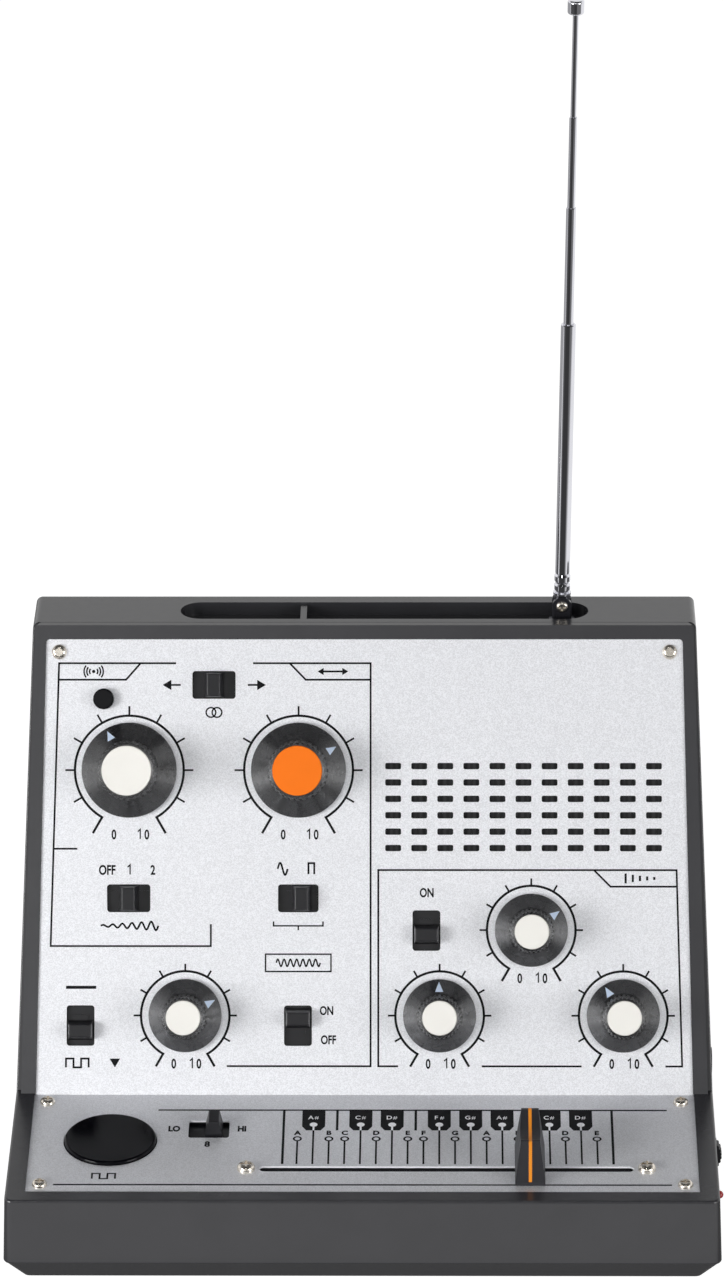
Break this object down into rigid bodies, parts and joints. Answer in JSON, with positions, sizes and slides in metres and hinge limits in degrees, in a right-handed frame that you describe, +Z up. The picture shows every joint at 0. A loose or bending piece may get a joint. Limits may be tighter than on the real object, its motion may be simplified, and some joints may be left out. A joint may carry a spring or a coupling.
{
  "type": "desktop theremin",
  "caption": "Desktop theremin: sloped control panel with knobs, slide switches and speaker slots above a low deck with a trigger button and pitch slider, and a folding telescopic antenna.",
  "frame": {"origin": "on the table, under the middle of the case", "axes": "+X to the player's right, +Y from the player to the back, +Z up; the control panel faces -Y"},
  "size_m": [0.2574, 0.1721, 0.429],
  "materials": {
    "case_plastic": "satin, fine moulded grain",
    "panel_silver": "silver paint with a fine sparkle",
    "nickel": "nickel-plated screws",
    "rubber": "matte",
    "cloth": "black grille cloth",
    "knob_black": "gloss black",
    "cap_cream": "off-white inlay",
    "orange": "orange inlay",
    "switch_black": "matte black",
    "button_grey": "satin dark grey",
    "chrome": "polished tube",
    "dark_metal": "blackened clevis",
    "board": "circuit board",
    "zinc": "plated inner metal",
    "magnet": "ferrite magnet",
    "paper": "pulp cone",
    "led_red": "red lens",
    "battery_skin": "plain battery skin",
    "spring_metal": "nickel contacts"
  },
  "bodies": {
    "case": {"front_housing": "case_plastic", "rear_housing": "case_plastic", "base_cover": "case_plastic", "rear_cover": "case_plastic", "upper_bezel": "case_plastic", "upper_panel": "panel_silver", "lower_panel": "panel_silver", "panel_screws": "nickel", "fader_screws": "nickel", "case_screws": "nickel", "rubber_feet": "rubber", "grille_cloth": "cloth", "speaker_frame": "zinc", "speaker_magnet": "magnet", "speaker_cone": "paper", "inner_screws": "zinc", "upper_board": "board", "lower_board": "board", "pot_bodies": "zinc", "switch_bodies": "switch_black", "fader_body": "zinc", "power_led": "led_red", "output_jack": "switch_black", "dc_inlet": "switch_black", "volume_pot": "switch_black", "antenna_socket": "zinc", "batteries": "battery_skin", "battery_contacts": "spring_metal"},
    "pitch_antenna_knob": {"pitch_antenna_knob": "knob_black", "pitch_antenna_knob_cap": "cap_cream"},
    "pitch_slide_knob": {"pitch_slide_knob": "knob_black", "pitch_slide_knob_cap": "orange"},
    "time_knob": {"time_knob": "knob_black", "time_knob_cap": "cap_cream"},
    "level_knob": {"level_knob": "knob_black", "level_knob_cap": "cap_cream"},
    "feedback_knob": {"feedback_knob": "knob_black", "feedback_knob_cap": "cap_cream"},
    "decay_knob": {"decay_knob": "knob_black", "decay_knob_cap": "cap_cream"},
    "mix_switch": {"mix_switch_cap": "switch_black"},
    "modulation_switch": {"modulation_switch_cap": "switch_black"},
    "waveform_switch": {"waveform_switch_cap": "switch_black"},
    "vibrato_switch": {"vibrato_switch_cap": "switch_black"},
    "drone_switch": {"drone_switch_cap": "switch_black"},
    "delay_switch": {"delay_switch_cap": "switch_black"},
    "octave_switch": {"octave_switch_cap": "switch_black"},
    "fader": {"fader_cap": "button_grey", "fader_stripe": "orange", "fader_lever": "zinc"},
    "trigger": {"trigger_button": "button_grey"},
    "tuning": {"tuning_button": "button_grey"},
    "volume": {"volume_wheel": "switch_black"},
    "battery_lid": {"battery_door": "case_plastic"},
    "antenna_base": {"antenna_swivel": "dark_metal", "antenna_screw": "nickel"},
    "antenna_lower": {"antenna_tube_1": "chrome"},
    "antenna_middle": {"antenna_tube_2": "chrome"},
    "antenna_upper": {"antenna_tube_3": "chrome"},
    "antenna_top": {"antenna_rod": "chrome"}
  },
  "joints": [
    {"name": "pitch_antenna_knob_turn", "type": "hinge", "parent": "case", "child": "pitch_antenna_knob", "pos_m": [-0.0855, 0.03594, 0.14672], "axis": [0, -0.9092, 0.4163], "range_deg": [-179, 121]},
    {"name": "pitch_slide_knob_turn", "type": "hinge", "parent": "case", "child": "pitch_slide_knob", "pos_m": [-0.0239, 0.03594, 0.14672], "axis": [0, -0.9092, 0.4163], "range_deg": [-92, 208]},
    {"name": "time_knob_turn", "type": "hinge", "parent": "case", "child": "time_knob", "pos_m": [0.0607, 0.01175, 0.09389], "axis": [0, -0.9092, 0.4163], "range_deg": [-94.5, 205.5]},
    {"name": "level_knob_turn", "type": "hinge", "parent": "case", "child": "level_knob", "pos_m": [0.0274, -0.00119, 0.06561], "axis": [0, -0.9092, 0.4163], "range_deg": [-151, 149]},
    {"name": "feedback_knob_turn", "type": "hinge", "parent": "case", "child": "feedback_knob", "pos_m": [0.0941, -0.00119, 0.06561], "axis": [0, -0.9092, 0.4163], "range_deg": [-182, 118]},
    {"name": "decay_knob_turn", "type": "hinge", "parent": "case", "child": "decay_knob", "pos_m": [-0.0651, -0.00119, 0.06561], "axis": [0, -0.9092, 0.4163], "range_deg": [-88, 212]},
    {"name": "mix_switch_slide", "type": "slide", "parent": "case", "child": "mix_switch", "axis": [1, 0, 0], "range_m": [-0.004, 0.004]},
    {"name": "modulation_switch_slide", "type": "slide", "parent": "case", "child": "modulation_switch", "axis": [1, 0, 0], "range_m": [-0.004, 0.004]},
    {"name": "waveform_switch_slide", "type": "slide", "parent": "case", "child": "waveform_switch", "axis": [1, 0, 0], "range_m": [-0.0036, 0]},
    {"name": "vibrato_switch_slide", "type": "slide", "parent": "case", "child": "vibrato_switch", "axis": [0, 0.4163, 0.9092], "range_m": [-0.0036, 0]},
    {"name": "drone_switch_slide", "type": "slide", "parent": "case", "child": "drone_switch", "axis": [0, 0.4163, 0.9092], "range_m": [0, 0.0036]},
    {"name": "delay_switch_slide", "type": "slide", "parent": "case", "child": "delay_switch", "axis": [0, 0.4163, 0.9092], "range_m": [0, 0.0036]},
    {"name": "octave_switch_slide", "type": "slide", "parent": "case", "child": "octave_switch", "axis": [1, 0, 0], "range_m": [-0.0038, 0]},
    {"name": "fader_slide", "type": "slide", "parent": "case", "child": "fader", "axis": [1, 0, 0], "range_m": [-0.0923, 0.0327]},
    {"name": "trigger_press", "type": "slide", "parent": "case", "child": "trigger", "axis": [0, 0.0698, -0.9976], "range_m": [0, 0.0009], "stiffness_N_per_m": 400, "springref_m": -0.001},
    {"name": "tuning_press", "type": "slide", "parent": "case", "child": "tuning", "axis": [0, 0.9092, -0.4163], "range_m": [0, 0.0006], "stiffness_N_per_m": 300, "springref_m": -0.001},
    {"name": "volume_turn", "type": "hinge", "parent": "case", "child": "volume", "pos_m": [0.1215, -0.02405, 0.02139], "axis": [0, 0.9976, 0.0698], "range_deg": [-110, 160]},
    {"name": "battery_lid_hinge", "type": "hinge", "parent": "case", "child": "battery_lid", "pos_m": [0, 0.0844, 0.02065], "axis": [-1, 0, 0], "range_deg": [0, 90]},
    {"name": "antenna_swivel_turn", "type": "hinge", "parent": "case", "child": "antenna_base", "pos_m": [0.072, 0.07045, 0.1982], "axis": [0, 0, 1], "continuous": true},
    {"name": "antenna_fold", "type": "hinge", "parent": "antenna_base", "child": "antenna_lower", "pos_m": [0.072, 0.07045, 0.1982], "axis": [0, 1, 0], "range_deg": [-90.85, 60]},
    {"name": "antenna_pull_1", "type": "slide", "parent": "antenna_lower", "child": "antenna_middle", "axis": [0.0148, 0, 0.9999], "range_m": [-0.0433, 0.0435]},
    {"name": "antenna_pull_2", "type": "slide", "parent": "antenna_middle", "child": "antenna_upper", "axis": [0.0148, 0, 0.9999], "range_m": [-0.033, 0.051]},
    {"name": "antenna_pull_3", "type": "slide", "parent": "antenna_upper", "child": "antenna_top", "axis": [0.0148, 0, 0.9999], "range_m": [-0.0373, 0.0427]}
  ]
}
